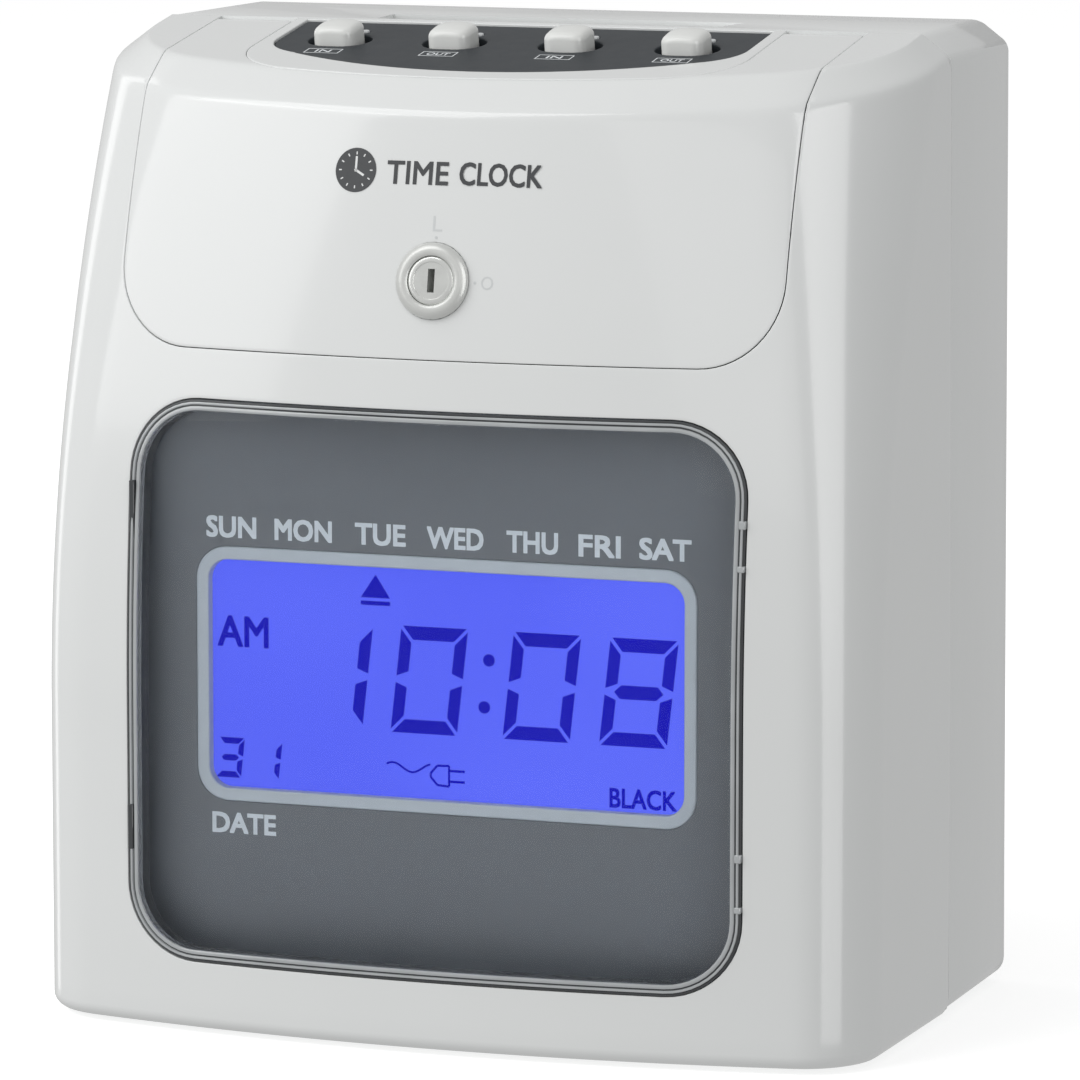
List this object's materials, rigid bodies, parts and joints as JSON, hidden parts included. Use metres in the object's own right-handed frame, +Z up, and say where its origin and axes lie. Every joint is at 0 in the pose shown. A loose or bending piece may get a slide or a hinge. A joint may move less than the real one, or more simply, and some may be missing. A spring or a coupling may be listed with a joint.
{
  "type": "punch time clock",
  "caption": "Top-feed card punch time clock with a lockable hinged lid, sprung buttons, a clear display window and a print head on a slide.",
  "frame": {"origin": "middle of the footprint, on the surface the rubber feet stand on", "axes": "+Z up, -Y towards the user, who reads the display; +X to that user's right"},
  "size_m": [0.212, 0.1354, 0.2402],
  "materials": {
    "housing": "smooth moulded white plastic",
    "lid_white": "smooth moulded white plastic",
    "panel_grey": "fine textured dark grey plastic",
    "button_ivory": "satin off-white keycap",
    "led_clear": "milky lens",
    "clear_window": "polished clear plastic",
    "mask_grey": "printed satin panel",
    "frame_blue_grey": "printed satin border",
    "screen_blue": "lit liquid crystal screen",
    "backlight_white": "light guide",
    "board_green": "solder mask",
    "chip_black": "moulded epoxy",
    "lock_chrome": "polished plating",
    "zinc_steel": "zinc plated sheet",
    "bright_steel": "ground rod",
    "dark_plastic": "moulded dark plastic",
    "roller_rubber": "ground rubber",
    "gear_white": "acetal",
    "bronze": "sintered bronze",
    "motor_can": "plated can",
    "ribbon_ink": "inked nylon",
    "core_steel": "varnished laminations",
    "coil_copper": "taped winding",
    "battery_wrap": "shrink wrap",
    "foot_rubber": "moulded rubber"
  },
  "bodies": {
    "housing": {"rear_body": "housing", "front_cover": "housing", "button_bezel": "lid_white", "button_panel": "panel_grey", "hinge_pins": "bright_steel", "led_lenses": "led_clear", "key_switches": "chip_black", "button_board": "board_green", "display_lens": "clear_window", "display_mask": "mask_grey", "screen_frame": "frame_blue_grey", "screen_glass": "screen_blue", "backlight": "backlight_white", "display_board": "board_green", "lock_strike": "zinc_steel", "card_throat": "housing", "chute_front": "zinc_steel", "chute_back": "zinc_steel", "card_stop": "dark_plastic", "card_sensor": "chip_black", "platen": "dark_plastic", "side_plate_left": "zinc_steel", "side_plate_right": "zinc_steel", "cross_bars": "bright_steel", "base_plate": "zinc_steel", "shaft_bushes": "bronze", "feed_motor": "motor_can", "guide_rod": "bright_steel", "carriage_motor": "motor_can", "ribbon_cartridge": "dark_plastic", "ribbon_strip": "ribbon_ink", "main_board": "board_green", "board_parts": "chip_black", "transformer_core": "core_steel", "transformer_coil": "coil_copper", "backup_battery": "battery_wrap", "power_jack": "chip_black", "case_screws": "bright_steel", "rubber_feet": "foot_rubber"},
    "lid": {"top_lid": "lid_white", "lock_barrel": "lock_chrome", "lock_nut": "zinc_steel"},
    "lock": {"lock_plug": "lock_chrome", "lock_cam": "zinc_steel"},
    "button_1": {"button_1": "button_ivory"},
    "button_2": {"button_2": "button_ivory"},
    "button_3": {"button_3": "button_ivory"},
    "button_4": {"button_4": "button_ivory"},
    "head": {"head_carriage": "dark_plastic", "print_head": "chip_black"},
    "screw": {"carriage_screw": "bright_steel"},
    "feed": {"feed_shaft": "bright_steel", "feed_rollers": "roller_rubber", "feed_gear": "gear_white"},
    "pinion": {"motor_pinion": "bronze"},
    "idler": {"idler_shaft": "bright_steel", "idler_rollers": "gear_white"},
    "knob": {"ribbon_knob": "button_ivory"}
  },
  "joints": [
    {"name": "lid_hinge", "type": "hinge", "parent": "housing", "child": "lid", "pos_m": [0, 0.0111, 0.23608], "axis": [-1, 0, 0], "range_deg": [0, 68]},
    {"name": "lock_turn", "type": "hinge", "parent": "lid", "child": "lock", "pos_m": [0, -0.05806, 0.1843], "axis": [0, 0.9848, -0.1736], "range_deg": [0, 90]},
    {"name": "button_1_press", "type": "slide", "parent": "housing", "child": "button_1", "axis": [0, 0.1666, -0.986], "range_m": [0, 0.0015], "stiffness_N_per_m": 400, "springref_m": -0.0008},
    {"name": "button_2_press", "type": "slide", "parent": "housing", "child": "button_2", "axis": [0, 0.1666, -0.986], "range_m": [0, 0.0015], "stiffness_N_per_m": 400, "springref_m": -0.0008},
    {"name": "button_3_press", "type": "slide", "parent": "housing", "child": "button_3", "axis": [0, 0.1666, -0.986], "range_m": [0, 0.0015], "stiffness_N_per_m": 400, "springref_m": -0.0008},
    {"name": "button_4_press", "type": "slide", "parent": "housing", "child": "button_4", "axis": [0, 0.1666, -0.986], "range_m": [0, 0.0015], "stiffness_N_per_m": 400, "springref_m": -0.0008},
    {"name": "head_slide", "type": "slide", "parent": "housing", "child": "head", "axis": [1, 0, 0], "range_m": [0, 0.05]},
    {"name": "screw_spin", "type": "hinge", "parent": "housing", "child": "screw", "pos_m": [0, 0.00975, 0.168], "axis": [1, 0, 0], "continuous": true},
    {"name": "feed_spin", "type": "hinge", "parent": "housing", "child": "feed", "pos_m": [0, 0.01435, 0.135], "axis": [1, 0, 0], "continuous": true},
    {"name": "pinion_spin", "type": "hinge", "parent": "housing", "child": "pinion", "pos_m": [0.065, -0.00241, 0.12532], "axis": [1, 0, 0], "continuous": true},
    {"name": "idler_spin", "type": "hinge", "parent": "housing", "child": "idler", "pos_m": [0, 0.02845, 0.135], "axis": [1, 0, 0], "continuous": true},
    {"name": "knob_turn", "type": "hinge", "parent": "housing", "child": "knob", "pos_m": [0.03, -0.02175, 0.19], "axis": [0, 0, 1], "continuous": true}
  ],
  "couplings": [
    {"joint": "screw_spin", "follows": "head_slide", "rad_per_m": 523.6},
    {"joint": "pinion_spin", "follows": "feed_spin", "ratio": -3},
    {"joint": "idler_spin", "follows": "feed_spin", "ratio": -1.5094}
  ]
}
